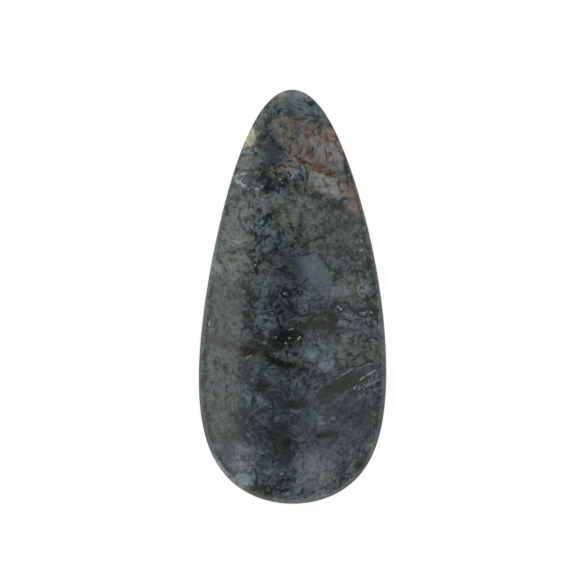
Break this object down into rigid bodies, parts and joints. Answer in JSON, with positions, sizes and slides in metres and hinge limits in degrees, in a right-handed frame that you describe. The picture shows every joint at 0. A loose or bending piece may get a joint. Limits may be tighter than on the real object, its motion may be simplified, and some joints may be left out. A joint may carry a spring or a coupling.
{
  "type": "moss agate cabochon",
  "caption": "Teardrop moss agate cabochon: a low polished dome over a thin upright girdle, with a flat bevelled back for setting or gluing.",
  "frame": {"origin": "middle of the flat back, at the middle of the stone's length and width", "axes": "+Y along the stone towards its narrow end, +Z out of the flat back towards the crest of the dome"},
  "size_m": [0.0236, 0.052, 0.0058],
  "materials": {
    "moss_agate_stone": "polished dome and girdle, lapped back; grey-green translucent chalcedony with dark moss, blue-grey windows and a rusty patch"
  },
  "bodies": {
    "root": {"moss_agate": "moss_agate_stone"}
  },
  "joints": []
}
